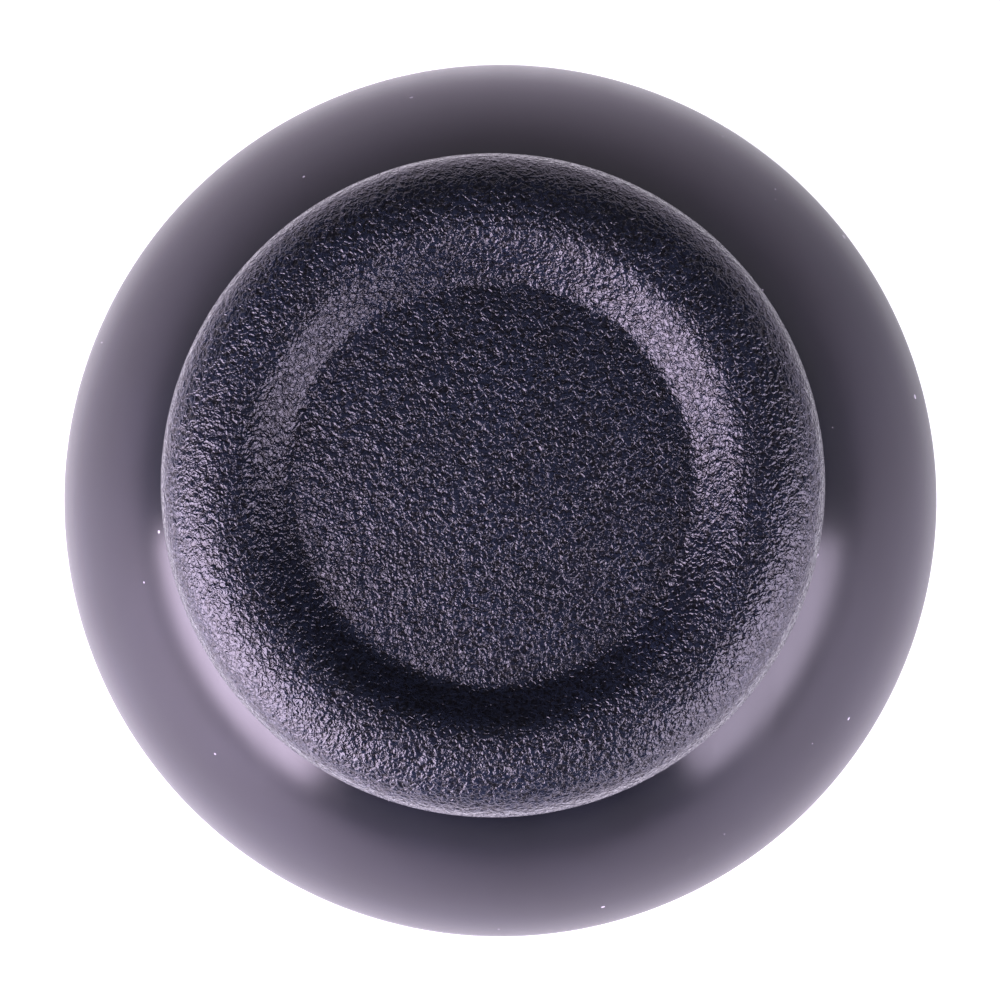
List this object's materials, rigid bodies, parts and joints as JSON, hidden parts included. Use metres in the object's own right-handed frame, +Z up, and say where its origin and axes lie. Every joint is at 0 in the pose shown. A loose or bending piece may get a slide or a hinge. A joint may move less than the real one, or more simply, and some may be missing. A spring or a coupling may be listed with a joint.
{
  "type": "analogue thumbstick",
  "caption": "Two-axis analogue thumbstick: a grained mushroom pad on a hard dome over a sprung gimbal with rotary position sensors and a push switch.",
  "frame": {"origin": "on the stick's axis, in the flat face of the base that sits on the circuit board", "axes": "+Z up, the way the stick points at rest; +X towards the push switch; +Y towards the sensor that reads left and right"},
  "size_m": [0.0254, 0.0254, 0.0267],
  "materials": {
    "pad_rubber": "pebble grained, soft sheen",
    "dome_plastic": "smooth satin gloss",
    "natural_acetal": "as moulded",
    "black_nylon": "as moulded",
    "steel": "ground",
    "spring_steel": "drawn",
    "plated_steel": "nickel plated sheet",
    "sensor_green": "as moulded",
    "wafer_laminate": "phenolic laminate",
    "contact_bronze": "stamped",
    "plated_terminal": "tinned",
    "switch_plunger": "as moulded"
  },
  "bodies": {
    "housing": {"base": "black_nylon", "can": "plated_steel", "return_spring": "spring_steel", "spring_seat": "black_nylon", "switch_base": "black_nylon", "switch_cover": "black_nylon", "snap_dome": "spring_steel", "switch_terminals": "plated_terminal", "sensor_case_x": "sensor_green", "sensor_wafer_x": "wafer_laminate", "sensor_rivets_x": "plated_terminal", "sensor_terminals_x": "plated_terminal", "sensor_case_y": "sensor_green", "sensor_wafer_y": "wafer_laminate", "sensor_rivets_y": "plated_terminal", "sensor_terminals_y": "plated_terminal"},
    "push_frame": {"switch_plunger": "switch_plunger"},
    "yoke": {"yoke_rocker": "black_nylon"},
    "stick": {"lever": "natural_acetal", "cross_pin": "steel", "dome_cap": "dome_plastic", "thumb_pad": "pad_rubber"},
    "arch": {"arch_rocker": "natural_acetal", "sensor_rotor_x": "natural_acetal", "sensor_brush_x": "contact_bronze"},
    "reader_y": {"sensor_rotor_y": "natural_acetal", "sensor_brush_y": "contact_bronze"}
  },
  "joints": [
    {"name": "push", "type": "hinge", "parent": "housing", "child": "push_frame", "pos_m": [-0.0064, 0, 0.006], "axis": [0, 1, 0], "range_deg": [0, 1.7], "stiffness_Nm_per_rad": 0.4, "springref_deg": -1.72, "deforming": ["snap_dome"]},
    {"name": "tilt_y", "type": "hinge", "parent": "push_frame", "child": "yoke", "pos_m": [0, 0, 0.006], "axis": [1, 0, 0], "range_deg": [-18, 18], "stiffness_Nm_per_rad": 0.03, "deforming": ["return_spring", "spring_seat"]},
    {"name": "tilt_x", "type": "hinge", "parent": "yoke", "child": "stick", "pos_m": [0, 0, 0.006], "axis": [0, 1, 0], "range_deg": [-18, 18], "stiffness_Nm_per_rad": 0.03},
    {"name": "read_x", "type": "hinge", "parent": "housing", "child": "arch", "pos_m": [0, 0, 0.006], "axis": [0, 1, 0], "range_deg": [-18, 18]},
    {"name": "read_y", "type": "hinge", "parent": "housing", "child": "reader_y", "pos_m": [0, 0, 0.006], "axis": [1, 0, 0], "range_deg": [-18, 18]}
  ],
  "couplings": [
    {"joint": "read_x", "follows": "tilt_x", "ratio": 1},
    {"joint": "read_y", "follows": "tilt_y", "ratio": 1}
  ]
}
